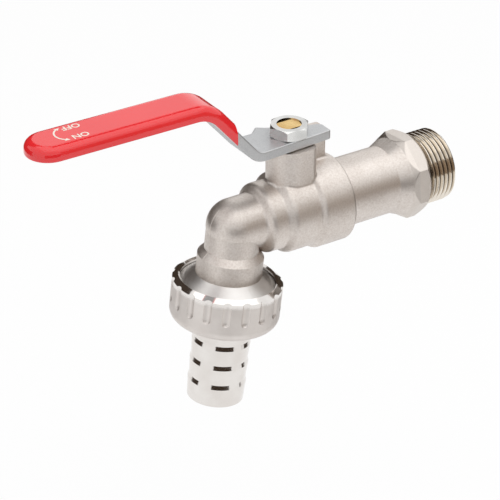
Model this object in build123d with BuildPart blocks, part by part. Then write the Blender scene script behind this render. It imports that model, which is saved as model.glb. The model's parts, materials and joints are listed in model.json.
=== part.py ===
from build123d import *
import math
import os

# Bib tap: a ball tap with a lever, a threaded inlet, an elbow, and a hose tail held by a union nut.
# Frame: origin at the centre of the inlet's threaded end, +Y along the inlet towards the wall, +Z up.

# Fits
slip_fit = 0.05
turning_fit = 0.05
thread_fit = 0.12
loose_gap = 0.3

# Inlet connector
inlet_thread_r = 13.22
inlet_thread_length = 12.0
inlet_thread_pitch = 1.814
thread_land = 0.302
thread_flank_angle = 27.5
inlet_bore_r = 9.5
inlet_chamfer = 1.0
spanner_flats = 29.6
spanner_sides = 8
spanner_turn = 28.0
spanner_length = 5.4
spanner_lead = 2.0
facet_length = 2.0
facet_taper = 18.0
flare_length = 6.6
connector_tube_r = 12.24
connector_tube_length = 21.1
screwed_step = 0.29
screwed_length = 9.4

# Waterway, ball and seats
way_r = 7.0
seat_shoulder = 1.0
seat_bore_step = 0.2
seat_depth = 2.4
ball_clearance = 0.5
ball_end_gap = 1.07
slot_width = 4.2
slot_web = 0.8

# Body outside
collar_r = 15.8
collar_length = 12.1
collar_step = 1.4
barrel_r = 14.4
barrel_length = 9.9
shoulder_r = 12.4
shoulder_slope = 2.5
shoulder_length = 5.4
elbow_r = 9.7
elbow_slope = 1.8
elbow_length = 7.45
ring_round = 1.04
soft_round = 1.2
shoulder_round = 2.4

# Outlet, measured along its leaning axis from where it crosses the inlet axis
outlet_lean = 7.17
outlet_tube_r = 9.5
outlet_way_r = 6.9
tube_end = 8.7
outlet_collar_r = 11.6
outlet_collar_start = 11.0
outlet_collar_end = 18.0
spigot_start = 21.2
spigot_length = 7.3
spigot_r = 16.62
spigot_chamfer = 0.8

# Neck and stop lug
neck_r = 8.0
neck_back = 7.1
neck_corner = 2.5
neck_top = 25.2
neck_foot_round = 1.2
lug_width = 6.2
lug_back = 15.5
lug_corner = 1.0
stop_face = 2.15
stop_setback = 1.75
stop_rise = 1.7

# Stem and its seals
stem_r = 4.95
stem_collar_ledge = 1.05
stem_collar_gap = 0.4
stem_collar_height = 2.1
thrust_washer_thickness = 1.0
tongue_length = 10.0
tongue_gap = 0.4
stem_thread_r = 4.25
stem_flats = 6.0
o_ring_clearance = 0.045
o_ring_groove_depth = 1.4
o_ring_side_play = 0.17
lower_o_ring_z = 17.0
upper_o_ring_z = 21.5

# Lever; reaches are measured from the stem's axis, forward to the grip or back to the wall
plate_thickness = 3.5
arm_width = 14.4
taper_reach = 13.8
tail_reach = 13.7
tail_front_x = 5.3
tail_back_step = 0.75
tail_slant = 1.4
tail_root_step = 0.15
tail_root_reach = 8.65
notch_x = -8.4
notch_reach = 4.2
ear_x = -10.5
ear_reach = 7.0
ear_root_reach = 10.6
plan_round = 0.8
plate_edge_round = 0.5
arm_angle = 49.5
arm_reach = 17.6
grip_underside = 47.3
tip_reach = 98.9
foot_round = 4.5
knee_round = 9.5
cover_top = 1.3
cover_side = 0.85
cover_round = 3.0
lip_round = 0.7
cover_reach = 25.5
lever_nut_flats = 12.5
lever_nut_height = 3.9
lever_nut_turn = 22.0
lever_nut_chamfer_angle = 30.0
stem_below_nut = 0.4

# Union nut, gasket and hose tail
nut_wall = 2.61
nut_top = 19.6
nut_rim_wall = 0.66
nut_rim_drop = 1.3
nut_round = 3.7
lip_thickness = 2.7
flute_count = 18
flute_depth = 0.65
flute_r = 2.06
flute_end = 28.0
flute_turn = 12.0
gasket_thickness = 2.0
gasket_inner_r = 7.6
flange_thickness = 2.8
flange_gap = 0.44
barb_crest_r = 10.41
barb_drop = 0.36
barb_pitch = 7.75
barb_slope = 1.6
barb_count = 4
barb_first = 36.12
tail_end = 66.4
tail_bore_r = 7.3
tail_round = 1.6

# Radii that follow from the ones above
screwed_r = connector_tube_r - screwed_step
mouth_r = screwed_r + slip_fit
chamber_r = mouth_r - seat_shoulder
ball_r = chamber_r - ball_clearance
seat_bore_r = way_r + seat_bore_step
seat_reach = math.sqrt(ball_r**2 - way_r**2) + ball_end_gap
stem_collar_r = stem_r + stem_collar_ledge
o_ring_cord_r = (o_ring_groove_depth + turning_fit) / 2 - o_ring_clearance
nut_bore_r = spigot_r + thread_fit
nut_r = nut_bore_r + nut_wall
nut_rim_r = nut_bore_r + nut_rim_wall
flange_r = nut_bore_r - flange_gap

# Places along the inlet axis, all negative because the tap stands out from the wall
spanner_front_y = -inlet_thread_length
spanner_back_y = spanner_front_y - spanner_length
flare_y = spanner_back_y - flare_length
ring_y = flare_y - connector_tube_length
nose_y = ring_y - screwed_length
stem_y = nose_y - seat_reach
chamber_end_y = stem_y - seat_reach
collar_end_y = ring_y - collar_length
barrel_start_y = collar_end_y - collar_step
barrel_end_y = barrel_start_y - barrel_length
shoulder_start_y = barrel_end_y - shoulder_slope
shoulder_end_y = shoulder_start_y - shoulder_length
elbow_start_y = shoulder_end_y - elbow_slope
outlet_y = elbow_start_y - elbow_length

lean = math.radians(outlet_lean)
outlet_down = Vector(0, -math.sin(lean), -math.cos(lean))
outlet_origin = Vector(0, outlet_y, 0)
outlet_axis = Axis(outlet_origin, outlet_down)
# In this plane x is the radius and y runs up the outlet axis, so depths along the outlet are negative y.
outlet_section = Plane(origin=outlet_origin, x_dir=(1, 0, 0), z_dir=(0, -math.cos(lean), math.sin(lean)))
stem_axis = Axis((0, stem_y, 0), (0, 0, 1))
stem_section = Plane(origin=(0, stem_y, 0), x_dir=(1, 0, 0), z_dir=(0, -1, 0))

spigot_end = spigot_start + spigot_length
flange_top = spigot_end + gasket_thickness
flange_bottom = flange_top + flange_thickness
nut_bottom = flange_bottom + lip_thickness

plate_bottom = neck_top + loose_gap
plate_top = plate_bottom + plate_thickness
stem_bore_r = stem_r + turning_fit
counterbore_r = stem_collar_r + loose_gap
slot_floor = way_r + slot_web
tongue_bottom = slot_floor + tongue_gap
stem_collar_bottom = ball_r + stem_collar_gap
thrust_seat = stem_collar_bottom + stem_collar_height + thrust_washer_thickness
stem_end = plate_top + lever_nut_height - stem_below_nut
stop_front = tail_root_reach + stop_setback
tail_back_x = tail_back_step - stop_face
tail_root_x = -tail_root_step - stop_face


def outlet_plane(depth):
    """The plane square to the outlet axis at a depth along it, facing down the outlet."""
    return Plane(origin=outlet_origin + outlet_down * depth, x_dir=(1, 0, 0), z_dir=outlet_down)


def stem_plane(height):
    """The level plane at a height, centred on the stem."""
    return Plane(origin=(0, stem_y, height))


# Tap body: one casting, turned forms about the inlet and the outlet, with the neck and the stop lug on top
with BuildPart() as tap_body:
    with BuildSketch(Plane.XY):
        with BuildLine():
            FilletPolyline(
                (0, ring_y),
                (collar_r, ring_y),
                (collar_r, collar_end_y),
                (barrel_r, barrel_start_y),
                (barrel_r, barrel_end_y),
                (shoulder_r, shoulder_start_y),
                (shoulder_r, shoulder_end_y),
                (elbow_r, elbow_start_y),
                (elbow_r, outlet_y),
                radius=[ring_round] + [soft_round] * 2 + [shoulder_round, soft_round] * 2,
            )
            CenterArc((0, outlet_y), elbow_r, 0, -90)
            Line((0, outlet_y - elbow_r), (0, ring_y))
        make_face()
    revolve(axis=Axis.Y)
    with BuildSketch(outlet_section):
        with BuildLine():
            Polyline(
                (0, 0),
                (outlet_tube_r, 0),
                (outlet_tube_r, -tube_end),
                (outlet_collar_r, -outlet_collar_start),
                (outlet_collar_r, -outlet_collar_end),
                (spigot_r, -spigot_start),
                (spigot_r, spigot_chamfer - spigot_end),
                (spigot_r - spigot_chamfer, -spigot_end),
                (0, -spigot_end),
                close=True,
            )
        make_face()
    revolve(axis=outlet_axis)
    with BuildSketch(stem_plane(0)):
        with BuildLine():
            FilletPolyline(
                (-neck_r, 0),
                (-neck_r, neck_back),
                (neck_r, neck_back),
                (neck_r, 0),
                radius=neck_corner,
            )
            ThreePointArc((-neck_r, 0), (0, -neck_r), (neck_r, 0))
        make_face()
    extrude(amount=neck_top)
    with BuildSketch(stem_plane(0)) as lug_sketch:
        with Locations((-lug_width / 2, lug_back / 2)):
            Rectangle(lug_width, lug_back)
        fillet(lug_sketch.vertices().group_by(Axis.Y)[-1], lug_corner)
    extrude(amount=neck_top)
    with BuildSketch(stem_plane(neck_top)) as stop_sketch:
        with Locations((-(lug_width + stop_face) / 2, (stop_front + lug_back) / 2)):
            Rectangle(lug_width - stop_face, lug_back - stop_front)
        fillet(stop_sketch.vertices().group_by(Axis.Y)[-1], lug_corner)
    extrude(amount=stop_rise)
    # The neck and the lug run out into the barrel
    foot_edges = tap_body.edges().filter_by(
        lambda edge: abs(edge.center().X) < neck_r + neck_foot_round
        and shoulder_r / 2 < edge.center().Z < collar_r
        and stem_y - neck_r - neck_foot_round < edge.center().Y < stem_y + lug_back - lug_corner
    )
    fillet(foot_edges, neck_foot_round)
    # Chamber, screwed mouth and waterway
    with BuildSketch(Plane.XY):
        with BuildLine():
            Polyline(
                (0, ring_y),
                (mouth_r, ring_y),
                (mouth_r, nose_y),
                (chamber_r, nose_y),
                (chamber_r, chamber_end_y),
                (way_r, chamber_end_y),
                (way_r, outlet_y),
            )
            CenterArc((0, outlet_y), way_r, 0, -90)
            Line((0, outlet_y - way_r), (0, ring_y))
        make_face()
    revolve(axis=Axis.Y, mode=Mode.SUBTRACT)
    with BuildSketch(outlet_plane(0)):
        Circle(outlet_way_r)
    extrude(amount=spigot_end, mode=Mode.SUBTRACT)
    # Stem bore with its counterbore from inside the chamber
    with BuildSketch(stem_plane(0)):
        Circle(stem_bore_r)
    extrude(amount=neck_top, mode=Mode.SUBTRACT)
    with BuildSketch(stem_plane(0)):
        Circle(counterbore_r)
    extrude(amount=thrust_seat, mode=Mode.SUBTRACT)
tap_body.part.label = "tap_body"

# Inlet thread: level grooves at the pitch, with the thread's own depth, flanks and lands
flank_width = inlet_thread_pitch / 2 - thread_land
thread_root_r = inlet_thread_r - flank_width / math.tan(math.radians(thread_flank_angle))
thread_turns = int((inlet_thread_length - inlet_chamfer - thread_land) / inlet_thread_pitch)
thread_points = []
for groove_start in [inlet_chamfer + thread_land + inlet_thread_pitch * i for i in range(thread_turns)]:
    thread_points += [
        (inlet_thread_r, -groove_start),
        (thread_root_r, -groove_start - flank_width),
        (thread_root_r, -groove_start - flank_width - thread_land),
        (inlet_thread_r, -groove_start - 2 * flank_width - thread_land),
    ]

# Inlet connector: a turned blank with an octagon for the spanner, whose flats fall away to a round flare
with BuildPart() as inlet_connector:
    spanner_corner_r = spanner_flats / 2 / math.cos(math.pi / spanner_sides)
    facet_end_r = spanner_flats / 2 - facet_length * math.tan(math.radians(facet_taper))
    with BuildSketch(Plane.XZ.offset(-spanner_front_y)):
        RegularPolygon(spanner_flats / 2, spanner_sides, major_radius=False, rotation=spanner_turn)
    extrude(amount=spanner_length)
    with BuildSketch(Plane.XZ.offset(-spanner_back_y)):
        RegularPolygon(spanner_flats / 2, spanner_sides, major_radius=False, rotation=spanner_turn)
    extrude(amount=flare_length, taper=facet_taper)
    with BuildSketch(Plane.XY):
        with BuildLine():
            Polyline(
                (0, spanner_front_y),
                (spanner_corner_r - spanner_lead, spanner_front_y),
                (spanner_corner_r, spanner_front_y - spanner_lead),
                (spanner_corner_r, spanner_back_y),
                (facet_end_r, spanner_back_y - facet_length),
                (connector_tube_r, flare_y),
                (0, flare_y),
                close=True,
            )
        make_face()
    revolve(axis=Axis.Y, mode=Mode.INTERSECT)
    with BuildSketch(Plane.XY):
        with BuildLine():
            Polyline(
                (0, 0),
                (inlet_thread_r - inlet_chamfer, 0),
                (inlet_thread_r, -inlet_chamfer),
                *thread_points,
                (inlet_thread_r, spanner_front_y),
                (0, spanner_front_y),
                close=True,
            )
        make_face()
    revolve(axis=Axis.Y)
    with BuildSketch(Plane.XY):
        with BuildLine():
            Polyline(
                (0, flare_y),
                (connector_tube_r, flare_y),
                (connector_tube_r, ring_y),
                (screwed_r, ring_y),
                (screwed_r, nose_y),
                (0, nose_y),
                close=True,
            )
        make_face()
    revolve(axis=Axis.Y)
    with BuildSketch(Plane.XY):
        with BuildLine():
            Polyline(
                (0, 0),
                (inlet_bore_r, 0),
                (inlet_bore_r, ring_y),
                (way_r, ring_y - (inlet_bore_r - way_r)),
                (way_r, nose_y),
                (0, nose_y),
                close=True,
            )
        make_face()
    revolve(axis=Axis.Y, mode=Mode.SUBTRACT)
inlet_connector.part.label = "inlet_connector"

# Ball with its waterway and the slot that the stem turns it by
with BuildPart() as ball:
    with Locations((0, stem_y, 0)):
        Sphere(ball_r)
    with BuildSketch(Plane.XZ.offset(-stem_y)):
        Circle(way_r)
    extrude(amount=2 * ball_r, both=True, mode=Mode.SUBTRACT)
    with BuildSketch(stem_plane(slot_floor)):
        Rectangle(4 * ball_r, slot_width)
    extrude(amount=ball_r, mode=Mode.SUBTRACT)
ball.part.label = "ball"

# Seat rings: soft rings hollowed to the ball
seat_r = chamber_r - slip_fit
with BuildPart() as inlet_seat_ring:
    with BuildSketch(Plane.XZ.offset(-nose_y)):
        Circle(seat_r)
        Circle(seat_bore_r, mode=Mode.SUBTRACT)
    extrude(amount=seat_depth)
    with Locations((0, stem_y, 0)):
        Sphere(ball_r + turning_fit, mode=Mode.SUBTRACT)
inlet_seat_ring.part.label = "inlet_seat_ring"

with BuildPart() as outlet_seat_ring:
    with BuildSketch(Plane.XZ.offset(-chamber_end_y)):
        Circle(seat_r)
        Circle(seat_bore_r, mode=Mode.SUBTRACT)
    extrude(amount=-seat_depth)
    with Locations((0, stem_y, 0)):
        Sphere(ball_r + turning_fit, mode=Mode.SUBTRACT)
outlet_seat_ring.part.label = "outlet_seat_ring"

# Stem: tongue in the ball's slot, collar, grooved shank, and a flatted and threaded end for the lever
groove_r = stem_r - o_ring_groove_depth
groove_width = 2 * (o_ring_cord_r + o_ring_side_play)
with BuildPart() as stem:
    with BuildSketch(stem_section):
        with BuildLine():
            Polyline(
                (0, stem_collar_bottom),
                (stem_collar_r, stem_collar_bottom),
                (stem_collar_r, stem_collar_bottom + stem_collar_height),
                (stem_r, stem_collar_bottom + stem_collar_height),
                (stem_r, plate_bottom),
                (0, plate_bottom),
                close=True,
            )
        make_face()
        for groove_z in (lower_o_ring_z, upper_o_ring_z):
            with Locations(((groove_r + stem_r) / 2, groove_z)):
                Rectangle(o_ring_groove_depth, groove_width, mode=Mode.SUBTRACT)
    revolve(axis=stem_axis)
    with BuildSketch(stem_plane(tongue_bottom)):
        Rectangle(tongue_length, slot_width - 2 * slip_fit)
    extrude(amount=stem_collar_bottom - tongue_bottom)
    with BuildSketch(stem_plane(plate_bottom)):
        Circle(stem_thread_r)
        Rectangle(stem_flats, 2 * stem_thread_r, mode=Mode.INTERSECT)
    extrude(amount=stem_end - plate_bottom)
stem.part.label = "stem"

with BuildPart() as stem_thrust_washer:
    with BuildSketch(stem_plane(thrust_seat - thrust_washer_thickness)):
        Circle(stem_collar_r)
        Circle(stem_bore_r, mode=Mode.SUBTRACT)
    extrude(amount=thrust_washer_thickness)
stem_thrust_washer.part.label = "stem_thrust_washer"

# Stem seals: round cords lying in the grooves, just clear of the bore
o_ring_r = (groove_r + stem_bore_r) / 2
with BuildPart() as lower_stem_o_ring:
    with Locations(stem_plane(lower_o_ring_z)):
        Torus(o_ring_r, o_ring_cord_r)
lower_stem_o_ring.part.label = "lower_stem_o_ring"

with BuildPart() as upper_stem_o_ring:
    with Locations(stem_plane(upper_o_ring_z)):
        Torus(o_ring_r, o_ring_cord_r)
upper_stem_o_ring.part.label = "upper_stem_o_ring"

# Lever strip: a side view that bends up to the grip, cut to its plan outline
arm_half = arm_width / 2
arm_slope = math.radians(arm_angle)
bend_shift = math.tan(arm_slope / 2)
tail_end_y = stem_y + tail_reach
foot_y = stem_y - arm_reach
knee_y = foot_y - (grip_underside - plate_bottom) / math.tan(arm_slope)
cover_half = arm_half + slip_fit + cover_side
tip_y = stem_y - tip_reach
tip_centre_y = tip_y + cover_half


def strip_side(thickness):
    """Draws the side view of a bent strip on the lever's underside, with parallel bends."""
    shift = thickness * bend_shift
    top = plate_bottom + thickness
    knee_top = grip_underside + thickness
    FilletPolyline(
        (tail_end_y, plate_bottom),
        (foot_y, plate_bottom),
        (knee_y, grip_underside),
        (tip_y, grip_underside),
        radius=[foot_round + thickness, knee_round],
    )
    FilletPolyline(
        (tail_end_y, top),
        (foot_y + shift, top),
        (knee_y + shift, knee_top),
        (tip_y, knee_top),
        radius=[foot_round, knee_round + thickness],
    )
    Line((tail_end_y, plate_bottom), (tail_end_y, top))
    Line((tip_y, grip_underside), (tip_y, knee_top))


def finger_plan(half_width, start_y):
    """Draws the plan of the arm and its round tip, from a start across the arm."""
    with Locations((0, (start_y + tip_centre_y) / 2)):
        Rectangle(2 * half_width, start_y - tip_centre_y)
    with Locations((0, tip_centre_y)):
        Circle(half_width)


with BuildPart() as lever_plate:
    with BuildSketch(Plane.YZ):
        with BuildLine():
            strip_side(plate_thickness)
        make_face()
    extrude(amount=-ear_x, both=True)
    with BuildSketch(Plane.XY):
        with BuildLine():
            FilletPolyline(
                (arm_half, tip_centre_y),
                (arm_half, stem_y - taper_reach),
                (tail_front_x, tail_end_y),
                (0, tail_end_y),
                (tail_back_x, tail_end_y - tail_slant),
                (tail_root_x, stem_y + tail_root_reach),
                (notch_x, stem_y - notch_reach),
                (ear_x, stem_y - ear_reach),
                (-arm_half, stem_y - ear_root_reach),
                (-arm_half, tip_centre_y),
                radius=plan_round,
            )
            Line((-arm_half, tip_centre_y), (arm_half, tip_centre_y))
        make_face()
        with Locations((0, tip_centre_y)):
            Circle(arm_half)
    extrude(amount=grip_underside + plate_thickness, mode=Mode.INTERSECT)
    broad_faces = lever_plate.faces().filter_by(lambda face: abs(face.normal_at().Z) > math.cos(arm_slope) / 2)
    fillet(broad_faces.edges().filter_by(Axis.X, reverse=True), plate_edge_round)
    with BuildSketch(stem_plane(plate_bottom)):
        Circle(stem_thread_r + slip_fit)
        Rectangle(stem_flats + 2 * slip_fit, 3 * stem_thread_r, mode=Mode.INTERSECT)
    extrude(amount=plate_thickness, mode=Mode.SUBTRACT)
lever_plate.part.label = "lever_plate"

# Grip: a cover over the strip's top and sides, round at the tip, open underneath
with BuildPart() as grip_pocket:
    with BuildSketch(Plane.YZ):
        with BuildLine():
            strip_side(plate_thickness + slip_fit)
        make_face()
    extrude(amount=cover_half, both=True)
    with BuildSketch(Plane.XY):
        finger_plan(arm_half + slip_fit, stem_y)
    extrude(amount=grip_underside + 2 * plate_thickness, mode=Mode.INTERSECT)

with BuildPart() as lever_grip:
    with BuildSketch(Plane.YZ):
        with BuildLine():
            strip_side(plate_thickness + slip_fit + cover_top)
        make_face()
    extrude(amount=cover_half, both=True)
    with BuildSketch(Plane.XY):
        finger_plan(cover_half, stem_y - cover_reach)
    extrude(amount=grip_underside + 2 * plate_thickness, mode=Mode.INTERSECT)
    upper_faces = lever_grip.faces().filter_by(lambda face: face.normal_at().Z > math.cos(arm_slope) / 2)
    fillet(upper_faces.edges().filter_by(Axis.X, reverse=True), cover_round)
    lower_faces = lever_grip.faces().filter_by(lambda face: face.normal_at().Z < -math.cos(arm_slope) / 2)
    fillet(lower_faces.edges().filter_by(Axis.X, reverse=True), lip_round)
    add(grip_pocket.part, mode=Mode.SUBTRACT)
lever_grip.part.label = "lever_grip"

# Lever nut: a hexagon with turned chamfers on its upper and lower corners
with BuildPart() as lever_nut:
    nut_corner_r = lever_nut_flats / 2 / math.cos(math.pi / 6)
    chamfer_drop = (nut_corner_r - lever_nut_flats / 2) * math.tan(math.radians(lever_nut_chamfer_angle))
    with BuildSketch(stem_plane(plate_top)):
        RegularPolygon(lever_nut_flats / 2, 6, major_radius=False, rotation=lever_nut_turn)
        Circle(stem_thread_r + slip_fit, mode=Mode.SUBTRACT)
    extrude(amount=lever_nut_height)
    with BuildSketch(stem_section):
        with BuildLine():
            Polyline(
                (0, plate_top),
                (lever_nut_flats / 2, plate_top),
                (nut_corner_r, plate_top + chamfer_drop),
                (nut_corner_r, plate_top + lever_nut_height - chamfer_drop),
                (lever_nut_flats / 2, plate_top + lever_nut_height),
                (0, plate_top + lever_nut_height),
                close=True,
            )
        make_face()
    revolve(axis=stem_axis, mode=Mode.INTERSECT)
lever_nut.part.label = "lever_nut"

# Union nut: turned, with a lip that carries the hose tail's flange, and fluted for the hand
with BuildPart() as union_nut:
    with BuildSketch(outlet_section):
        with BuildLine():
            Polyline(
                (barb_crest_r + loose_gap, -nut_bottom),
                (barb_crest_r + loose_gap, -flange_bottom),
                (nut_bore_r, -flange_bottom),
                (nut_bore_r, nut_bore_r - nut_rim_r - nut_top),
                (nut_rim_r, -nut_top),
                (nut_r, -nut_top - nut_rim_drop),
                (nut_r, nut_round - nut_bottom),
            )
            RadiusArc((nut_r, nut_round - nut_bottom), (nut_r - nut_round, -nut_bottom), nut_round)
            Line((nut_r - nut_round, -nut_bottom), (barb_crest_r + loose_gap, -nut_bottom))
        make_face()
    revolve(axis=outlet_axis)
    flute_circle_r = nut_r - flute_depth + flute_r
    with BuildSketch(outlet_plane(nut_top)):
        with PolarLocations(flute_circle_r, flute_count, start_angle=flute_turn):
            Circle(flute_r)
    extrude(amount=flute_end - nut_top, mode=Mode.SUBTRACT)
    with Locations(outlet_plane(flute_end)):
        with PolarLocations(flute_circle_r, flute_count, start_angle=flute_turn):
            Sphere(flute_r, mode=Mode.SUBTRACT)
union_nut.part.label = "union_nut"

with BuildPart() as hose_gasket:
    with BuildSketch(outlet_plane(spigot_end)):
        Circle(flange_r)
        Circle(gasket_inner_r, mode=Mode.SUBTRACT)
    extrude(amount=gasket_thickness)
hose_gasket.part.label = "hose_gasket"

# Hose tail: a flange and a row of barbs that taper towards the open end
barb_root_r = barb_crest_r - barb_drop
barb_points = []
for crest in [barb_first + barb_pitch * i for i in range(barb_count)]:
    barb_points += [(barb_root_r, barb_slope - crest), (barb_crest_r, -crest)]
with BuildPart() as hose_tail:
    with BuildSketch(outlet_section) as tail_sketch:
        with BuildLine():
            Polyline(
                (tail_bore_r, -flange_top),
                (flange_r, -flange_top),
                (flange_r, -flange_bottom),
                (barb_root_r, -flange_bottom),
                *barb_points,
                (barb_root_r, -tail_end),
                (tail_bore_r, -tail_end),
                close=True,
            )
        make_face()
        fillet(tail_sketch.vertices().group_by(Axis.Z)[0].sort_by(Axis.X)[-1], tail_round)
    revolve(axis=outlet_axis)
hose_tail.part.label = "hose_tail"

pieces = [
    tap_body,
    inlet_connector,
    ball,
    inlet_seat_ring,
    outlet_seat_ring,
    stem,
    stem_thrust_washer,
    lower_stem_o_ring,
    upper_stem_o_ring,
    lever_plate,
    lever_grip,
    lever_nut,
    union_nut,
    hose_gasket,
    hose_tail,
]
os.makedirs("parts", exist_ok=True)
for piece in pieces:
    export_step(piece.part, f"parts/{piece.part.label}.step")
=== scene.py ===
import json
import math

import bmesh
import bpy
from mathutils import Matrix, Vector
from mathutils.bvhtree import BVHTree


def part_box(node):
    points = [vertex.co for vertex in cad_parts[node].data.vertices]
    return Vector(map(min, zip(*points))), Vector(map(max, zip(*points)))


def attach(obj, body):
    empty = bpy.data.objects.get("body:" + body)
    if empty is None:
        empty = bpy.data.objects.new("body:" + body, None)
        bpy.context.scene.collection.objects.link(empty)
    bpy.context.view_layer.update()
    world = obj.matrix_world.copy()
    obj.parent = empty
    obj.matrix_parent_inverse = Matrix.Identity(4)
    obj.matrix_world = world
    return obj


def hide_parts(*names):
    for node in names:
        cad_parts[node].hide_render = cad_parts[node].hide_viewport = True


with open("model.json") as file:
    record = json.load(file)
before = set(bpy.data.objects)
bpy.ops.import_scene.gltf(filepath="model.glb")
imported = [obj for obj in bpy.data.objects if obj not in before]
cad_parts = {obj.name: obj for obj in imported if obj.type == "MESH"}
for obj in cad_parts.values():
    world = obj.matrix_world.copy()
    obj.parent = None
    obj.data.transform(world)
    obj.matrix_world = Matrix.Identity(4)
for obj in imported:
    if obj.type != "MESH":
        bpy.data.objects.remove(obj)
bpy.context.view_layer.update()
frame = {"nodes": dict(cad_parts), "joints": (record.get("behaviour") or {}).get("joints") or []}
nodes = frame["nodes"]
scene = bpy.context.scene
mm = 0.001
weldGap = 1e-7  # points nearer than this are one point
looseGap = 1e-6  # the same, for points that come from separate sums
white = (1, 1, 1, 1)

joints = {joint["name"]: joint for joint in frame["joints"]}
outletDown = Vector(joints["union_nut_turn"]["axis"]).normalized()  # along the leaning outlet, to the hose
outletLean = math.atan2(-outletDown.y, -outletDown.z)
outletTurn = (outletLean, 0, 0)  # turns the outlet axis upright
outletCross = Vector((0, -85.65 * mm, 0))  # where the outlet axis leaves the inlet axis
inletTurn = (math.radians(90), 0, 0)  # turns the inlet axis upright
print("frame loaded:", len(nodes), "pieces")


# helpers for node trees

def wire(tree, value, socket):
    # a socket gets a link, and a plain value goes on the input itself
    if isinstance(value, bpy.types.NodeSocket):
        tree.links.new(value, socket)
    else:
        socket.default_value = value


def addNode(tree, kind, **inputs):
    node = tree.nodes.new(kind)
    for label, value in inputs.items():
        wire(tree, value, node.inputs[label])
    return node


def calc(tree, operation, *values):
    node = tree.nodes.new("ShaderNodeMath")
    node.operation = operation
    for value, socket in zip(values, node.inputs):
        wire(tree, value, socket)
    return node.outputs["Value"]


def ramp(tree, value, low, high, first=0.0, last=1.0):
    # first at low, last at high, a straight run between, and level outside
    limits = {"From Min": low, "From Max": high, "To Min": first, "To Max": last}
    return addNode(tree, "ShaderNodeMapRange", Value=value, **limits).outputs["Result"]


def mix(tree, kind, share, first, second):
    node = tree.nodes.new("ShaderNodeMix")
    node.data_type = kind
    for label, value in (("Factor", share), ("A", first), ("B", second)):
        wire(tree, value, node.inputs[label])
    return node.outputs["Result"]


def objectSpot(tree):
    return tree.nodes.new("ShaderNodeTexCoord").outputs["Object"]


def addNoise(tree, vector, scale, detail, roughness=0.5):
    inputs = {"Vector": vector, "Scale": scale, "Detail": detail, "Roughness": roughness}
    return addNode(tree, "ShaderNodeTexNoise", **inputs).outputs["Fac"]


def emptyMaterial(name):
    material = bpy.data.materials.new(name)
    material.use_nodes = True
    tree = material.node_tree
    tree.nodes.clear()
    return material, tree, tree.nodes.new("ShaderNodeOutputMaterial").inputs["Surface"]


def newMaterial(name):
    material, tree, surface = emptyMaterial(name)
    shader = tree.nodes.new("ShaderNodeBsdfPrincipled")
    wire(tree, shader.outputs["BSDF"], surface)
    return material, tree, shader


# helpers for pieces

def dress(material, *names):
    for name in names:
        piece = nodes[name]
        piece.data.materials.clear()
        piece.data.materials.append(material)


def makePiece(name, mesh, body, material):
    piece = bpy.data.objects.new(name, mesh)
    scene.collection.objects.link(piece)
    mesh.materials.clear()
    mesh.materials.append(material)
    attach(piece, body)
    return piece


def plainMesh(maker):
    # the mesh that a passing object shows
    scene.collection.objects.link(maker)
    bpy.context.view_layer.update()
    graph = bpy.context.evaluated_depsgraph_get()
    return bpy.data.meshes.new_from_object(maker.evaluated_get(graph), depsgraph=graph)


def pourMesh(work, mesh):
    # moves a passing mesh into the bmesh
    work.from_mesh(mesh)
    bpy.data.meshes.remove(mesh)


def meshFromBmesh(name, work, sharpAngle):
    bmesh.ops.remove_doubles(work, verts=work.verts, dist=weldGap)
    bmesh.ops.recalc_face_normals(work, faces=work.faces)
    mesh = bpy.data.meshes.new(name)
    work.to_mesh(mesh)
    work.free()
    for face in mesh.polygons:
        face.use_smooth = True
    mesh.set_sharp_from_angle(angle=math.radians(sharpAngle))
    return mesh


# shader groups shared by several finishes

spreadInputs = {"Dark": "Color", "Light": "Color", "Rough Low": "Float", "Rough High": "Float"}
lookOutputs = {"Color": "Color", "Roughness": "Float", "Height": "Float"}


def makeGroup(name, inputs, outputs):
    tree = bpy.data.node_groups.new(name, "ShaderNodeTree")
    for way, sockets in (("INPUT", inputs), ("OUTPUT", outputs)):
        for label, kind in sockets.items():
            tree.interface.new_socket(label, in_out=way, socket_type="NodeSocket" + kind)
    return tree, tree.nodes.new("NodeGroupInput").outputs, tree.nodes.new("NodeGroupOutput").inputs


blastedGrain = {
    "grainDetail": 4.0,
    "grainRough": 0.65,
    "patchDetail": 3.0,
    "patchRough": 0.55,
    "grainShare": 0.75,  # of the colour; the patches give the rest
    "spread": (0.35, 0.65),  # levels of the noise that are all dark and all light
}


def makeGrainGroup():
    # fine blasted grain: a colour spread, a roughness spread and a height
    inputs = {"Grain Scale": "Float", "Patch Scale": "Float", **spreadInputs}
    tree, given, result = makeGroup("blastedGrain", inputs, lookOutputs)
    shape = blastedGrain
    vector = objectSpot(tree)
    grain = addNoise(tree, vector, given["Grain Scale"], shape["grainDetail"], shape["grainRough"])
    patches = addNoise(tree, vector, given["Patch Scale"], shape["patchDetail"], shape["patchRough"])
    rest = calc(tree, "MULTIPLY", patches, 1 - shape["grainShare"])
    blend = calc(tree, "MULTIPLY_ADD", grain, shape["grainShare"], rest)
    spread = ramp(tree, blend, *shape["spread"])
    rough = ramp(tree, spread, 0.0, 1.0, given["Rough High"], given["Rough Low"])
    wire(tree, mix(tree, "RGBA", spread, given["Dark"], given["Light"]), result["Color"])
    wire(tree, rough, result["Roughness"])
    wire(tree, grain, result["Height"])
    return tree


turnedLines = {
    "stretch": (0.02, 0.02, 1.0),  # long along the turn, short along the axis
    "lineDetail": 3.0,
    "lineRough": 0.6,
    "stainScale": 140.0,
    "stainDetail": 3.0,
    "spread": (0.3, 0.7),  # levels of the stains that are all dark and all light
}


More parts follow.
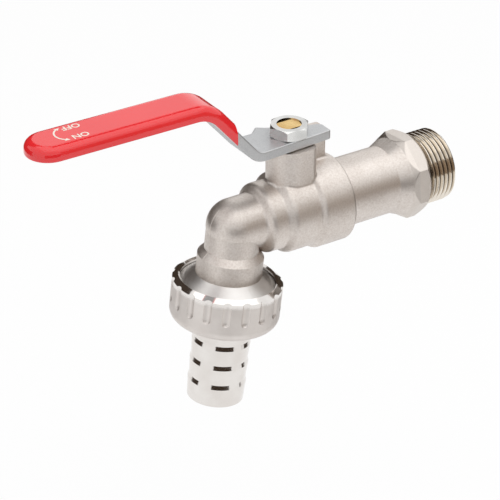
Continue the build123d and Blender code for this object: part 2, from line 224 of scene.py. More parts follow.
def makeTurnedGroup():
    # lathe lines across an axis that runs along the vector's Z
    inputs = {"Vector": "Vector", "Line Scale": "Float", **spreadInputs}
    tree, given, result = makeGroup("turnedLines", inputs, lookOutputs)
    shape = turnedLines
    stretched = addNode(tree, "ShaderNodeMapping", Vector=given["Vector"], Scale=shape["stretch"])
    vector = stretched.outputs["Vector"]
    lines = addNoise(tree, vector, given["Line Scale"], shape["lineDetail"], shape["lineRough"])
    stains = addNoise(tree, given["Vector"], shape["stainScale"], shape["stainDetail"])
    spread = ramp(tree, stains, *shape["spread"])
    rough = ramp(tree, lines, 0.0, 1.0, given["Rough Low"], given["Rough High"])
    wire(tree, mix(tree, "RGBA", spread, given["Dark"], given["Light"]), result["Color"])
    wire(tree, rough, result["Roughness"])
    wire(tree, lines, result["Height"])
    return tree


def makeBandGroup():
    # a mask along Z: 0 up to Start, 1 past End, either way round
    inputs = {"Vector": "Vector", "Start": "Float", "End": "Float"}
    tree, given, result = makeGroup("bandMask", inputs, {"Mask": "Float"})
    height = addNode(tree, "ShaderNodeSeparateXYZ", Vector=given["Vector"]).outputs["Z"]
    wire(tree, ramp(tree, height, given["Start"], given["End"]), result["Mask"])
    return tree


grainGroup = makeGrainGroup()
turnedGroup = makeTurnedGroup()
bandGroup = makeBandGroup()


def useGroup(tree, group, values):
    node = tree.nodes.new("ShaderNodeGroup")
    node.node_tree = group
    for label, value in values.items():
        wire(tree, value, node.inputs[label])
    return node.outputs


# finishes

def upright(tree, turn):
    # Object coordinates turned so that the piece's axis runs along Z
    return addNode(tree, "ShaderNodeMapping", Vector=objectSpot(tree), Rotation=turn).outputs["Vector"]


def outletHeight(depth):
    # height of a point of the outlet axis once upright has turned it
    return (Matrix.Rotation(outletLean, 4, "X") @ (outletCross + outletDown * depth)).z


def addBand(tree, vector, start, end):
    return useGroup(tree, bandGroup, {"Vector": vector, "Start": start, "End": end})["Mask"]


def grainLook(tree, values):
    return useGroup(tree, grainGroup, values)


def turnedLook(tree, values, axis):
    return useGroup(tree, turnedGroup, {"Vector": axis, **values})


def blendLooks(tree, mask, first, second):
    # colour, roughness and height of two looks, by a mask
    kinds = {"Color": "RGBA", "Roughness": "FLOAT", "Height": "FLOAT"}
    return {label: mix(tree, kind, mask, first[label], second[label]) for label, kind in kinds.items()}


def addBump(tree, shader, height, finish):
    bump = addNode(tree, "ShaderNodeBump", Strength=finish["bump"], Distance=finish["depth"], Height=height)
    wire(tree, bump.outputs["Normal"], shader.inputs["Normal"])


def wearLook(tree, shader, look, finish):
    wire(tree, look["Color"], shader.inputs["Base Color"])
    wire(tree, look["Roughness"], shader.inputs["Roughness"])
    wire(tree, 1.0, shader.inputs["Metallic"])
    addBump(tree, shader, look["Height"], finish)


blastedNickel = {
    "grain": {
        "Grain Scale": 1500.0,
        "Patch Scale": 110.0,
        "Dark": (0.67, 0.605, 0.555, 1),
        "Light": (0.79, 0.735, 0.69, 1),
        "Rough Low": 0.36,
        "Rough High": 0.54,
    },
    "machined": {
        "Line Scale": 1500.0,
        "Dark": (0.69, 0.665, 0.64, 1),
        "Light": (0.76, 0.74, 0.72, 1),
        "Rough Low": 0.30,
        "Rough High": 0.40,
    },
    "machinedFrom": 18.0 * mm,  # the casting is turned bare below its outlet ring
    "machinedFade": 0.1 * mm,
    "bump": 0.9,
    "depth": 0.08 * mm,
}


def makeBlastedNickel():
    material, tree, shader = newMaterial("blastedNickel")
    finish = blastedNickel
    axis = upright(tree, outletTurn)
    height = outletHeight(finish["machinedFrom"])
    fade = finish["machinedFade"]
    grain = grainLook(tree, finish["grain"])
    machined = turnedLook(tree, finish["machined"], axis)
    mask = addBand(tree, axis, height + fade, height - fade)
    wearLook(tree, shader, blendLooks(tree, mask, grain, machined), finish)
    return material


unionNickel = {
    "rim": {
        "Line Scale": 1600.0,
        "Dark": (0.74, 0.71, 0.68, 1),
        "Light": (0.84, 0.81, 0.785, 1),
        "Rough Low": 0.05,
        "Rough High": 0.12,
    },
    "rimEnd": 22.2 * mm,  # depth along the outlet where the polish fades out
    "rimFade": 0.8 * mm,
    "sides": {
        "Line Scale": 1600.0,
        "Dark": (0.73, 0.68, 0.645, 1),
        "Light": (0.81, 0.765, 0.73, 1),
        "Rough Low": 0.48,
        "Rough High": 0.56,
    },
    "bump": 0.05,
    "depth": 0.04 * mm,
}


def makeUnionNickel():
    material, tree, shader = newMaterial("unionNickel")
    finish = unionNickel
    axis = upright(tree, outletTurn)
    height = outletHeight(finish["rimEnd"])
    fade = finish["rimFade"]
    sides = turnedLook(tree, finish["sides"], axis)
    rim = turnedLook(tree, finish["rim"], axis)
    mask = addBand(tree, axis, height - fade, height + fade)
    wearLook(tree, shader, blendLooks(tree, mask, sides, rim), finish)
    return material


# metals with lathe lines alone; turn brings the axis of the lines upright
turnedMetals = {
    "tailNickel": {
        "lines": {
            "Line Scale": 1600.0,
            "Dark": (0.73, 0.69, 0.655, 1),
            "Light": (0.80, 0.77, 0.74, 1),
            "Rough Low": 0.07,
            "Rough High": 0.16,
        },
        "turn": outletTurn,
        "bump": 0.12,
        "depth": 0.04 * mm,
    },
    "brassEnd": {
        "lines": {
            "Line Scale": 1500.0,
            "Dark": (0.60, 0.36, 0.11, 1),
            "Light": (0.86, 0.62, 0.27, 1),
            "Rough Low": 0.16,
            "Rough High": 0.34,
        },
        "turn": (math.radians(90), 0, math.radians(20)),  # lines straight across the bare end
        "bump": 0.3,
        "depth": 0.06 * mm,
    },
    "zincNut": {
        "lines": {
            "Line Scale": 1400.0,
            "Dark": (0.60, 0.60, 0.585, 1),
            "Light": (0.78, 0.775, 0.76, 1),
            "Rough Low": 0.12,
            "Rough High": 0.26,
        },
        "turn": (0, 0, 0),
        "bump": 0.12,
        "depth": 0.04 * mm,
    },
    "polishedBall": {
        "lines": {
            "Line Scale": 900.0,
            "Dark": (0.74, 0.74, 0.75, 1),
            "Light": (0.82, 0.82, 0.83, 1),
            "Rough Low": 0.04,
            "Rough High": 0.08,
        },
        "turn": (0, 0, 0),
        "bump": 0.03,
        "depth": 0.02 * mm,
    },
}


def makeTurnedMetal(name):
    material, tree, shader = newMaterial(name)
    finish = turnedMetals[name]
    wearLook(tree, shader, turnedLook(tree, finish["lines"], upright(tree, finish["turn"])), finish)
    return material


leverSteel = {
    "grain": {
        "Grain Scale": 2600.0,
        "Patch Scale": 60.0,
        "Dark": (0.56, 0.57, 0.58, 1),
        "Light": (0.66, 0.665, 0.67, 1),
        "Rough Low": 0.42,
        "Rough High": 0.55,
    },
    "bump": 0.12,
    "depth": 0.03 * mm,
}


def makeLeverSteel():
    material, tree, shader = newMaterial("leverSteel")
    wearLook(tree, shader, grainLook(tree, leverSteel["grain"]), leverSteel)
    return material


gripRed = {
    "dark": (0.77, 0.014, 0.019, 1),
    "light": (0.85, 0.023, 0.028, 1),
    "tintScale": 60.0,
    "tintDetail": 3.0,
    "rough": (0.12, 0.2),  # where the tint is dark, and where it is light
    "coat": 0.5,
    "coatRough": 0.05,
    "peelScale": 700.0,
    "peelDetail": 2.0,
    "bump": 0.02,
    "depth": 0.04 * mm,
}


def makeGripRed():
    material, tree, shader = newMaterial("gripRed")
    finish = gripRed
    vector = objectSpot(tree)
    tint = addNoise(tree, vector, finish["tintScale"], finish["tintDetail"])
    peel = addNoise(tree, vector, finish["peelScale"], finish["peelDetail"])
    wire(tree, mix(tree, "RGBA", tint, finish["dark"], finish["light"]), shader.inputs["Base Color"])
    wire(tree, ramp(tree, tint, 0.0, 1.0, *finish["rough"]), shader.inputs["Roughness"])
    wire(tree, finish["coat"], shader.inputs["Coat Weight"])
    wire(tree, finish["coatRough"], shader.inputs["Coat Roughness"])
    addBump(tree, shader, peel, finish)
    return material


softMottle = {"detail": 3.0, "bump": 0.1, "depth": 0.03 * mm}
softParts = {
    "seatWhite": {
        "dark": (0.78, 0.78, 0.76, 1),
        "light": (0.9, 0.9, 0.88, 1),
        "rough": 0.45,
        "scale": 300.0,
    },
    "sealBlack": {
        "dark": (0.012, 0.012, 0.013, 1),
        "light": (0.03, 0.03, 0.031, 1),
        "rough": 0.6,
        "scale": 500.0,
    },
    "printCream": {
        "dark": (0.82, 0.76, 0.66, 1),
        "light": (0.9, 0.86, 0.77, 1),
        "rough": 0.4,
        "scale": 900.0,
    },
}


def makeSoftPart(name):
    material, tree, shader = newMaterial(name)
    finish = softParts[name]
    mottle = addNoise(tree, objectSpot(tree), finish["scale"], softMottle["detail"])
    wire(tree, mix(tree, "RGBA", mottle, finish["dark"], finish["light"]), shader.inputs["Base Color"])
    wire(tree, finish["rough"], shader.inputs["Roughness"])
    addBump(tree, shader, mottle, softMottle)
    return material


blasted = makeBlastedNickel()
dress(blasted, "tap_body")
dress(makeUnionNickel(), "union_nut")
dress(makeTurnedMetal("tailNickel"), "hose_tail")
dress(makeTurnedMetal("brassEnd"), "stem")
dress(makeTurnedMetal("zincNut"), "lever_nut")
dress(makeTurnedMetal("polishedBall"), "ball")
dress(makeLeverSteel(), "lever_plate")
dress(makeGripRed(), "lever_grip")
dress(makeSoftPart("seatWhite"), "inlet_seat_ring", "outlet_seat_ring", "stem_thrust_washer")
dress(makeSoftPart("sealBlack"), "lower_stem_o_ring", "upper_stem_o_ring", "hose_gasket")
print("finishes placed")


# geometry node helpers

def newTree(name, inputs):
    tree = bpy.data.node_groups.new(name, "GeometryNodeTree")
    sockets = {}
    for label, kind in inputs.items():
        socket = tree.interface.new_socket(label, in_out="INPUT", socket_type="NodeSocket" + kind)
        sockets[label] = socket.identifier
    tree.interface.new_socket("Geometry", in_out="OUTPUT", socket_type="NodeSocketGeometry")
    return tree, sockets, tree.nodes.new("NodeGroupInput").outputs


def closeTree(tree, geometry, material):
    real = addNode(tree, "GeometryNodeRealizeInstances", Geometry=geometry)
    finish = addNode(tree, "GeometryNodeSetMaterial", Geometry=real.outputs["Geometry"], Material=material)
    addNode(tree, "NodeGroupOutput", Geometry=finish.outputs["Geometry"])


def bakeTree(name, data, tree, sockets, values):
    # runs the tree on a passing object and returns the plain mesh it makes
    maker = bpy.data.objects.new(name, data)
    modifier = maker.modifiers.new(name, "NODES")
    modifier.node_group = tree
    for label, value in values.items():
        modifier[sockets[label]] = value
    mesh = plainMesh(maker)
    mesh.name = name
    maker.modifiers.remove(modifier)
    bpy.data.objects.remove(maker)
    return mesh


# inlet connector: the same turned blank as the solid, with its pipe thread cut as a helix

connector = {
    "threadR": 13.22 * mm,
    "threadLength": 12.0 * mm,
    "pitch": 1.814 * mm,
    "threadDepth": 1.162 * mm,
    "land": 0.17,  # share of the pitch that is flat on a crest, and in a root
    "endChamfer": 1.0 * mm,
    "relief": 0.5 * mm,  # plain groove between the thread and the octagon
    "runOut": 1.2 * mm,
    "flats": 29.6 * mm,
    "sides": 8,
    "corner": 28.0,  # angle of one corner of the octagon, from +X towards +Z
    "octagon": 5.4 * mm,
    "lead": 2.0 * mm,
    "facet": 2.0 * mm,  # the flats lean in over this length and end on the flare
    "facetTaper": 18.0,
    "flare": 6.6 * mm,
    "tubeR": 12.24 * mm,
    "tube": 21.1 * mm,
    "boreR": 9.5 * mm,
    "boreChamfer": 0.4 * mm,
    "noseR": 11.95 * mm,
    "nose": 9.4 * mm,
    "wayR": 7.0 * mm,
    "around": 288,
    "rowsPerPitch": 12,
    "edgeSteps": 24,
    "sharpAngle": 14.0,
}
connectorNickel = {
    "thread": {
        "Line Scale": 1600.0,
        "Dark": (0.74, 0.675, 0.59, 1),
        "Light": (0.85, 0.79, 0.70, 1),
        "Rough Low": 0.06,
        "Rough High": 0.15,
    },
    "threadFade": 0.05 * mm,
    # painted shade: the thread's roots are coloured dark, as shade falling between the crests
    "root": {
        "Line Scale": 1600.0,
        "Dark": (0.19, 0.16, 0.13, 1),
        "Light": (0.27, 0.235, 0.195, 1),
        "Rough Low": 0.2,
        "Rough High": 0.3,
    },
    "rootShadeFade": (0.1 * mm, 0.7 * mm),  # painted shade in the thread's roots: from the root, where the dark begins to thin and where it ends
    "flats": {
        "Grain Scale": 3200.0,
        "Patch Scale": 70.0,
        "Dark": (0.66, 0.605, 0.555, 1),
        "Light": (0.73, 0.675, 0.625, 1),
        "Rough Low": 0.32,
        "Rough High": 0.42,
    },
    "flatsFade": 0.4 * mm,
    "bump": 0.4,
    "depth": 0.07 * mm,
}


def addRootShadeMask(tree, vector, radius, fade):
    # 0 within reach of a radius about Z, 1 away from it; it places the painted shade along the thread's
    # roots
    part = addNode(tree, "ShaderNodeSeparateXYZ", Vector=vector).outputs
    square = calc(tree, "MULTIPLY_ADD", part["X"], part["X"], calc(tree, "MULTIPLY", part["Y"], part["Y"]))
    gap = calc(tree, "SUBTRACT", calc(tree, "SQRT", square), radius)
    return ramp(tree, calc(tree, "ABSOLUTE", gap), *fade)


def makeConnectorNickel():
    material, tree, shader = newMaterial("connectorNickel")
    finish = connectorNickel
    axis = upright(tree, inletTurn)
    threadEnd = -connector["threadLength"]
    flatsEnd = threadEnd - connector["octagon"] - connector["facet"]
    cast = grainLook(tree, blastedNickel["grain"])
    flats = grainLook(tree, finish["flats"])
    crest = turnedLook(tree, finish["thread"], axis)
    root = turnedLook(tree, finish["root"], axis)
    # painted shade: this mask darkens the thread's roots
    rootShadeMask = addRootShadeMask(tree, axis, connector["threadR"] - connector["threadDepth"], finish["rootShadeFade"])
    flatsMask = addBand(tree, axis, flatsEnd - finish["flatsFade"], flatsEnd + finish["flatsFade"])
    threadMask = addBand(tree, axis, threadEnd - finish["threadFade"], threadEnd + finish["threadFade"])
    thread = blendLooks(tree, rootShadeMask, root, crest)
    blank = blendLooks(tree, flatsMask, cast, flats)
    wearLook(tree, shader, blendLooks(tree, threadMask, blank, thread), finish)
    return material


def makeThreadTree():
    # a sheet whose rows follow the helix, rolled up into the thread's skin
    inputs = {
        "Radius": "Float",
        "Length": "Float",
        "Pitch": "Float",
        "Depth": "Float",
        "Land": "Float",
        "Chamfer": "Float",
        "Run Out": "Float",
        "Start Angle": "Float",
        "Turns": "Int",
        "Around": "Int",
        "Rows": "Int",
        "Material": "Material",
    }
    tree, sockets, given = newTree("pipeThread", inputs)
    counts = {"Vertices X": given["Around"], "Vertices Y": given["Rows"]}
    sheet = addNode(tree, "GeometryNodeMeshGrid", **{"Size X": 1.0, "Size Y": 1.0, **counts})
    position = tree.nodes.new("GeometryNodeInputPosition").outputs["Position"]
    where = addNode(tree, "ShaderNodeSeparateXYZ", Vector=position).outputs
    turn = calc(tree, "ADD", where["X"], 0.5)
    row = calc(tree, "ADD", where["Y"], 0.5)
    along = calc(tree, "SUBTRACT", calc(tree, "MULTIPLY_ADD", row, given["Turns"], turn), 1.0)
    depth = calc(tree, "MINIMUM", calc(tree, "MULTIPLY", along, given["Pitch"]), given["Length"])
    depth = calc(tree, "MAXIMUM", depth, 0.0)
    phase = calc(tree, "SUBTRACT", calc(tree, "DIVIDE", depth, given["Pitch"]), turn)
    wave = calc(tree, "MULTIPLY", calc(tree, "PINGPONG", phase, 0.5), 2.0)
    crest = ramp(tree, wave, given["Land"], calc(tree, "SUBTRACT", 1.0, given["Land"]))
    fade = ramp(tree, depth, given["Length"], calc(tree, "SUBTRACT", given["Length"], given["Run Out"]))
    share = calc(tree, "SUBTRACT", 1.0, calc(tree, "MULTIPLY", crest, fade))
    radius = calc(tree, "SUBTRACT", given["Radius"], calc(tree, "MULTIPLY", share, given["Depth"]))
    lead = calc(tree, "ADD", calc(tree, "SUBTRACT", given["Radius"], given["Chamfer"]), depth)
    radius = calc(tree, "MINIMUM", radius, lead)
    angle = calc(tree, "MULTIPLY_ADD", turn, 2 * math.pi, given["Start Angle"])
    rolled = {
        "X": calc(tree, "MULTIPLY", radius, calc(tree, "COSINE", angle)),
        "Y": calc(tree, "MULTIPLY", depth, -1.0),
        "Z": calc(tree, "MULTIPLY", radius, calc(tree, "SINE", angle)),
    }
    point = addNode(tree, "ShaderNodeCombineXYZ", **rolled).outputs["Vector"]
    roll = addNode(tree, "GeometryNodeSetPosition", Geometry=sheet.outputs["Mesh"], Position=point)
    join = addNode(tree, "GeometryNodeMergeByDistance", Geometry=roll.outputs["Geometry"], Distance=looseGap)
    closeTree(tree, join.outputs["Geometry"], given["Material"])
    return tree, sockets


def makeThreadSkin(material):
    size = connector
    tree, sockets = makeThreadTree()
    length = size["threadLength"] - size["relief"]
    turns = math.ceil(length / size["pitch"]) + 1
    values = {
        "Radius": size["threadR"],
        "Length": length,
        "Pitch": size["pitch"],
        "Depth": size["threadDepth"],
        "Land": size["land"],
        "Chamfer": size["endChamfer"],
        "Run Out": size["runOut"],
        "Start Angle": math.radians(size["corner"]),
        "Turns": turns,
        "Around": size["around"] + 1,
        "Rows": turns * size["rowsPerPitch"] + 1,
        "Material": material,
    }
    return bakeTree("pipeThread", bpy.data.meshes.new("threadSeed"), tree, sockets, values), length


def octagonRadius(into, turn):
    # into is the depth behind the octagon's front face
    size = connector
    sector = 2 * math.pi / size["sides"]
    local = (turn - math.radians(size["corner"])) % sector - sector / 2
    fall = math.tan(math.radians(size["facetTaper"]))
    behind = max(0.0, into - size["octagon"])
    flat = (size["flats"] / 2 - behind * fall) / math.cos(local)
    corner = size["flats"] / 2 / math.cos(sector / 2)
    facetEnd = size["flats"] / 2 - size["facet"] * fall
    if behind > size["facet"]:
        share = (behind - size["facet"]) / (size["flare"] - size["facet"])
        envelope = facetEnd + (size["tubeR"] - facetEnd) * share
    else:
        envelope = corner + (facetEnd - corner) * behind / size["facet"]
    return min(flat, envelope, corner - size["lead"] + into)


def connectorRings():
    # depth below the end face and a rule for the radius, from the thread's end round to the bore
    size = connector
    steps = size["edgeSteps"]
    intos = [size["lead"] * i / steps for i in range(steps + 1)]
    intos += [size["octagon"] + size["facet"] * i / steps for i in range(steps + 1)]
    intos.append(size["octagon"] + size["flare"])
    front = size["threadLength"]
    rings = [(front, lambda turn: size["threadR"] - size["threadDepth"])]
    rings += [(front + into, lambda turn, into=into: octagonRadius(into, turn)) for into in intos]
    tubeEnd = front + size["octagon"] + size["flare"] + size["tube"]
    noseEnd = tubeEnd + size["nose"]
    plain = [
        (tubeEnd, size["tubeR"]),
        (tubeEnd, size["noseR"]),
        (noseEnd, size["noseR"]),
        (noseEnd, size["wayR"]),
        (tubeEnd + size["boreR"] - size["wayR"], size["wayR"]),
        (tubeEnd, size["boreR"]),
        (size["boreChamfer"], size["boreR"]),
        (0.0, size["boreR"] + size["boreChamfer"]),
    ]
    return rings + [(depth, lambda turn, radius=radius: radius) for depth, radius in plain]


def makeConnector(material):
    around = connector["around"]
    start = math.radians(connector["corner"])
    step = 2 * math.pi / around
    skin, length = makeThreadSkin(material)
    work = bmesh.new()
    pourMesh(work, skin)
    mouth = [None] * around
    root = [None] * around
    for vert in work.verts:
        column = round((math.atan2(vert.co.z, vert.co.x) - start) / step) % around
        if abs(vert.co.y) < weldGap:
            mouth[column] = vert
        elif abs(vert.co.y + length) < weldGap:
            root[column] = vert
    loops = [root]
    turns = [start + i * step for i in range(around)]
    for depth, rule in connectorRings():
        spots = [(rule(turn) * math.cos(turn), -depth, rule(turn) * math.sin(turn)) for turn in turns]
        loops.append([work.verts.new(spot) for spot in spots])
    loops.append(mouth)
    for first, second in zip(loops, loops[1:]):
        for i in range(around):
            j = (i + 1) % around
            work.faces.new((first[i], first[j], second[j], second[i]))
    return meshFromBmesh("threadedConnector", work, connector["sharpAngle"])


inletMetal = makeConnectorNickel()
dress(inletMetal, "inlet_connector")
threaded = makeConnector(inletMetal)
connectorPiece = makePiece("threadedConnector", threaded, "body", inletMetal)
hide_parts("inlet_connector")
print("threaded connector made")


# parting line: the low rib that the two halves of the mould left down the elbow's front

partingLine = {
    "ribR": 0.26 * mm,
    "ribSides": 14,
    "proud": 0.12 * mm,
    "startAngle": 52.0,  # up from the front, on the elbow's round
    "straight": 12.0 * mm,  # down the outlet, as far as its ring
    "steps": 40,
    "castFrom": 100.0 * mm,  # the rays start this far out
    "sharpAngle": 40.0,
}


def makePartingPath():
    # points just under the casting's own front face, in the middle plane
    rib = partingLine
    cast = BVHTree.FromPolygons(
        [vert.co for vert in nodes["tap_body"].data.vertices],
        [face.vertices for face in nodes["tap_body"].data.polygons],
    )
    steps = rib["steps"]
    outletFront = outletDown.cross(Vector((1, 0, 0)))  # straight out of the outlet's front
    aims = []
    for i in range(steps + 1):
        angle = math.radians(rib["startAngle"]) * (1 - i / steps)
        aims.append((outletCross, Vector((0, -math.cos(angle), math.sin(angle)))))
    for i in range(1, steps + 1):
        aims.append((outletCross + outletDown * rib["straight"] * i / steps, outletFront))
    points = []
    for base, aim in aims:
        out = aim.normalized()
        hit = cast.ray_cast(base + out * rib["castFrom"], -out)[0]
        points.append(hit - out * (rib["ribR"] - rib["proud"]))
    return points


def makeRibTree():
    inputs = {"Geometry": "Geometry", "Rib Radius": "Float", "Sides": "Int", "Material": "Material"}
    tree, sockets, given = newTree("castRib", inputs)
    circle = {"Resolution": given["Sides"], "Radius": given["Rib Radius"]}
    section = addNode(tree, "GeometryNodeCurvePrimitiveCircle", **circle).outputs["Curve"]
    sweep = {"Curve": given["Geometry"], "Profile Curve": section, "Fill Caps": True}
    skin = addNode(tree, "GeometryNodeCurveToMesh", **sweep)
    closeTree(tree, skin.outputs["Mesh"], given["Material"])
    return tree, sockets


def makePartingLine(material):
    path = bpy.data.curves.new("partingPath", "CURVE")
    path.dimensions = "3D"
    points = makePartingPath()
    spline = path.splines.new("POLY")
    spline.points.add(len(points) - 1)
    for knot, point in zip(spline.points, points):
        knot.co = (*point, 1)
    tree, sockets = makeRibTree()
    values = {"Rib Radius": partingLine["ribR"], "Sides": partingLine["ribSides"], "Material": material}
    work = bmesh.new()
    pourMesh(work, bakeTree("partingLine", path, tree, sockets, values))
    return meshFromBmesh("partingLine", work, partingLine["sharpAngle"])


makePiece("partingLine", makePartingLine(blasted), "body", blasted)
print("parting line made")


# lettering on the grip: the two ends of the lever's turn, with an arc between them

lettering = {
    "size": 3.7 * mm,
    "weight": 0.06 * mm,
    "turn": -90.0,  # the words run along the lever
    "proud": 0.03 * mm,  # how far the print stands on the plastic
    "sunk": 0.03 * mm,
    "middleY": -144.6 * mm,
    "offX": -3.5 * mm,
    "onX": 3.3 * mm,
    "arcR": 4.6 * mm,
    "arcWidth": 0.55 * mm,
    "arcStart": 148.0,  # from +X, round the tip's side
    "arcEnd": 38.0,
    "arcY": -147.2 * mm,
    "arcSteps": 24,
    "headLength": 1.5 * mm,
    "headWidth": 1.7 * mm,
    "sharpAngle": 30.0,
}
gripTop = max(corner[2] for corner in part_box("lever_grip"))


def makeWord(word, x):
    text = lettering
    curve = bpy.data.curves.new(word, "FONT")
    curve.body = word
    curve.size = text["size"]
    curve.align_x = "CENTER"
    curve.align_y = "CENTER"
    curve.offset = text["weight"]
    curve.extrude = (text["proud"] + text["sunk"]) / 2
    maker = bpy.data.objects.new(word, curve)
    mesh = plainMesh(maker)
    bpy.data.objects.remove(maker)
    middle = (x, text["middleY"], gripTop + (text["proud"] - text["sunk"]) / 2)
    mesh.transform(Matrix.Translation(middle) @ Matrix.Rotation(math.radians(text["turn"]), 4, "Z"))
    return mesh


def addPlate(work, outline):
    # a closed thin plate on the grip's top, from its outline
    low = [work.verts.new((x, y, gripTop - lettering["sunk"])) for x, y in outline]
    high = [work.verts.new((x, y, gripTop + lettering["proud"])) for x, y in outline]
    count = len(outline)
    work.faces.new(low[::-1])
    work.faces.new(high)
    for i in range(count):
        j = (i + 1) % count
        work.faces.new((low[i], low[j], high[j], high[i]))


def arcSpot(radius, degrees):
    angle = math.radians(degrees)
    return (radius * math.cos(angle), lettering["arcY"] - radius * math.sin(angle))


def makeArc(work):
    text = lettering
    radius = text["arcR"]
    inner = radius - text["arcWidth"] / 2
    outer = radius + text["arcWidth"] / 2
    steps = text["arcSteps"]
    turns = [text["arcStart"] + (text["arcEnd"] - text["arcStart"]) * i / steps for i in range(steps + 1)]
    for first, second in zip(turns, turns[1:]):
        corners = ((inner, first), (outer, first), (outer, second), (inner, second))
        addPlate(work, [arcSpot(*corner) for corner in corners])
    reach = math.degrees(text["headLength"] / radius)
    half = text["headWidth"] / 2
    for end, way in ((turns[0], 1), (turns[-1], -1)):
        corners = ((radius - half, end), (radius + half, end), (radius, end + way * reach))
        addPlate(work, [arcSpot(*corner) for corner in corners])


def makeLettering():
    work = bmesh.new()
    makeArc(work)
    bmesh.ops.remove_doubles(work, verts=work.verts, dist=looseGap)
    for word, x in (("OFF", lettering["offX"]), ("ON", lettering["onX"])):
        pourMesh(work, makeWord(word, x))
    return meshFromBmesh("gripLettering", work, lettering["sharpAngle"])


printCream = makeSoftPart("printCream")
makePiece("gripLettering", makeLettering(), "lever", printCream)
print("lettering made")


# stage: white floor and world, a softbox overhead, dark walls and a flag that only reflections see

roomDark = (0.05, 0.036, 0.027, 1)
roomWarm = (0.33, 0.26, 0.2, 1)
roomRight = (0.06, 0.045, 0.034, 1)
roomLeft = (0.06, 0.045, 0.036, 1)
stage = {
    "middle": (0, -0.075, 0),  # the lamp aims here and the walls stand round it
    "floorZ": -0.16,
    "floorSize": 6.0,
    "floorWhite": 0.95,
    "floorKeep": 0.15,  # how much of the floor's own shading, with its shadow, the camera sees
    "worldDiffuse": 0.75,
    # the unlit room past the set, from and to in degrees from +X towards +Y
    "walls": {
        "cameraSide": {"from": -52, "to": 14, "away": 0.6, "foot": -0.16, "top": 0.14, "tint": roomDark},
        "warmSide": {"from": 14, "to": 48, "away": 0.6, "foot": -0.11, "top": 0.3, "tint": roomWarm},
        "rightSide": {"from": 48, "to": 130, "away": 0.42, "foot": -0.16, "top": 0.1, "tint": roomRight},
        "rightSideLow": {"from": 60, "to": 110, "away": 0.25, "foot": -0.16, "top": -0.1, "tint": roomDark},
        "farSideLow": {"from": 130, "to": 160, "away": 0.6, "foot": -0.16, "top": 0.0, "tint": roomDark},
        "farSide": {"from": 160, "to": 256, "away": 0.6, "foot": -0.16, "top": 0.2, "tint": roomDark},
        "leftSide": {"from": 166, "to": 214, "away": 0.62, "foot": 0.2, "top": 0.85, "tint": roomLeft},
    },
    "wallSteps": 24,
    "boxPlace": (0.05, 0.05, 0.9),
    "boxSize": 1.2,
    "boxPower": 4.0,
    "boxGlow": 1.5,  # the softbox's face as metal sees it
    "flagPlace": (-0.094, -0.012, 0.247),  # a dark flag that draws a line along the grip's edge
    "flagFacing": (0.43, 0, -0.9),
    "flagSize": (0.17, 0.085),
    "flagColour": (0.05, 0.045, 0.04, 1),
}


def mixSeen(tree, cameraShare, lights, seen, surface):
    # seen is what the camera and the reflections show, lights is what other rays meet
    rays = tree.nodes.new("ShaderNodeLightPath").outputs
    straight = calc(tree, "MULTIPLY", rays["Is Camera Ray"], cameraShare)
    mirrored = calc(tree, "MAXIMUM", straight, rays["Is Glossy Ray"])
    share = calc(tree, "MAXIMUM", mirrored, rays["Is Transmission Ray"])
    mixer = tree.nodes.new("ShaderNodeMixShader")
    for value, socket in zip((share, lights, seen), mixer.inputs):
        wire(tree, value, socket)
    wire(tree, mixer.outputs["Shader"], surface)


def makeFloorPaint():
    material, tree, surface = emptyMaterial("floorPaint")
    level = stage["floorWhite"]
    paint = addNode(tree, "ShaderNodeBsdfDiffuse", Color=(level, level, level, 1)).outputs["BSDF"]
    glow = addNode(tree, "ShaderNodeEmission", Color=white, Strength=1.0).outputs["Emission"]
    mixSeen(tree, 1 - stage["floorKeep"], paint, glow, surface)
    return material


def makeGlow(name, colour, strength=1.0):
    material, tree, surface = emptyMaterial(name)
    glow = addNode(tree, "ShaderNodeEmission", Color=colour, Strength=strength)
    wire(tree, glow.outputs["Emission"], surface)
    return material


def addStagePiece(name, points, faces, material):
    mesh = bpy.data.meshes.new(name)
    mesh.from_pydata(points, [], faces)
    mesh.materials.append(material)
    piece = bpy.data.objects.new(name, mesh)
    scene.collection.objects.link(piece)
    return piece


def makeCard(name, centre, facing, width, height, material):
    turn = Vector(facing).to_track_quat("Z", "Y").to_matrix()
    signs = ((-1, -1), (1, -1), (1, 1), (-1, 1))
    flat = [Vector((x * width / 2, y * height / 2, 0)) for x, y in signs]
    return addStagePiece(name, [Vector(centre) + turn @ corner for corner in flat], [(0, 1, 2, 3)], material)


def onlyReflected(piece):
    for ray in ("camera", "diffuse", "shadow", "transmission", "volume_scatter"):
        setattr(piece, "visible_" + ray, False)


def makeWall(name, wall):
    steps = stage["wallSteps"]
    x, y, _ = stage["middle"]
    points = []
    for z in (wall["foot"], wall["top"]):
        for i in range(steps + 1):
            turn = math.radians(wall["from"] + (wall["to"] - wall["from"]) * i / steps)
            points.append((x + wall["away"] * math.cos(turn), y + wall["away"] * math.sin(turn), z))
    faces = [(i, i + 1, steps + 2 + i, steps + 1 + i) for i in range(steps)]
    onlyReflected(addStagePiece(name, points, faces, makeGlow(name, wall["tint"])))


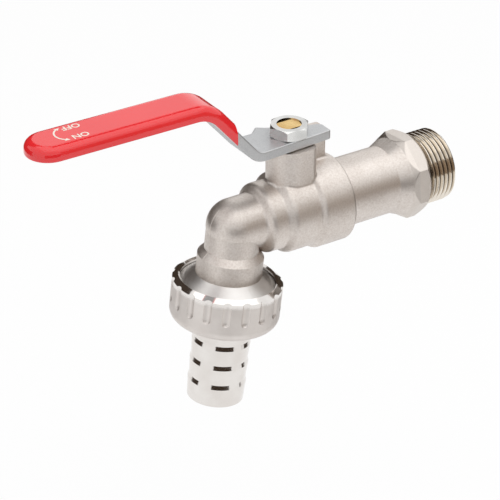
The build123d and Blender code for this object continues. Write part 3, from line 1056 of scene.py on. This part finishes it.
def makeWorld():
    world = bpy.data.worlds.new("studio")
    scene.world = world
    world.use_nodes = True
    tree = world.node_tree
    tree.nodes.clear()
    surface = tree.nodes.new("ShaderNodeOutputWorld").inputs["Surface"]
    levels = (stage["worldDiffuse"], 1.0)
    skies = [addNode(tree, "ShaderNodeBackground", Color=white, Strength=level) for level in levels]
    mixSeen(tree, 1.0, *[sky.outputs["Background"] for sky in skies], surface)


def makeSoftbox():
    # the lamp lights the tap, and a card in its place is what metal reflects
    place = stage["boxPlace"]
    size = stage["boxSize"]
    facing = Vector(stage["middle"]) - Vector(place)
    data = bpy.data.lights.new("topSoftbox", "AREA")
    data.shape = "DISK"
    data.size = size
    data.energy = stage["boxPower"]
    lamp = bpy.data.objects.new("topSoftbox", data)
    lamp.location = place
    lamp.rotation_euler = facing.to_track_quat("-Z", "Y").to_euler()
    lamp.visible_glossy = False
    scene.collection.objects.link(lamp)
    paint = makeGlow("softboxFace", white, stage["boxGlow"])
    onlyReflected(makeCard("softboxFace", place, facing, size, size, paint))


for name, wall in stage["walls"].items():
    makeWall(name, wall)
floorPlace = (0, 0, stage["floorZ"])
makeCard("floor", floorPlace, (0, 0, 1), stage["floorSize"], stage["floorSize"], makeFloorPaint())
makeWorld()
makeSoftbox()
flagPaint = makeGlow("gripFlag", stage["flagColour"])
onlyReflected(makeCard("gripFlag", stage["flagPlace"], stage["flagFacing"], *stage["flagSize"], flagPaint))
scene.view_settings.view_transform = "Standard"


# camera, at the photograph's own angle

view = {
    "azimuth": 57.44,
    "elevation": 30.08,
    "place": (0.5299, -0.4175, 0.3524),
    "lens": 151.2,
    "sensor": 36.0,
    "clipStart": 0.01,
}
azimuth = math.radians(view["azimuth"])
elevation = math.radians(view["elevation"])
level = math.cos(elevation)
back = Vector((math.sin(azimuth) * level, -math.cos(azimuth) * level, math.sin(elevation)))
right = Vector((math.cos(azimuth), math.sin(azimuth), 0))
up = back.cross(right)
cameraData = bpy.data.cameras.new("photoCamera")
cameraData.lens = view["lens"]
cameraData.sensor_width = view["sensor"]
cameraData.clip_start = view["clipStart"]
camera = bpy.data.objects.new("photoCamera", cameraData)
camera.matrix_world = Matrix.Translation(view["place"]) @ Matrix((right, up, back)).transposed().to_4x4()
scene.collection.objects.link(camera)
scene.camera = camera
print("stage and camera set")
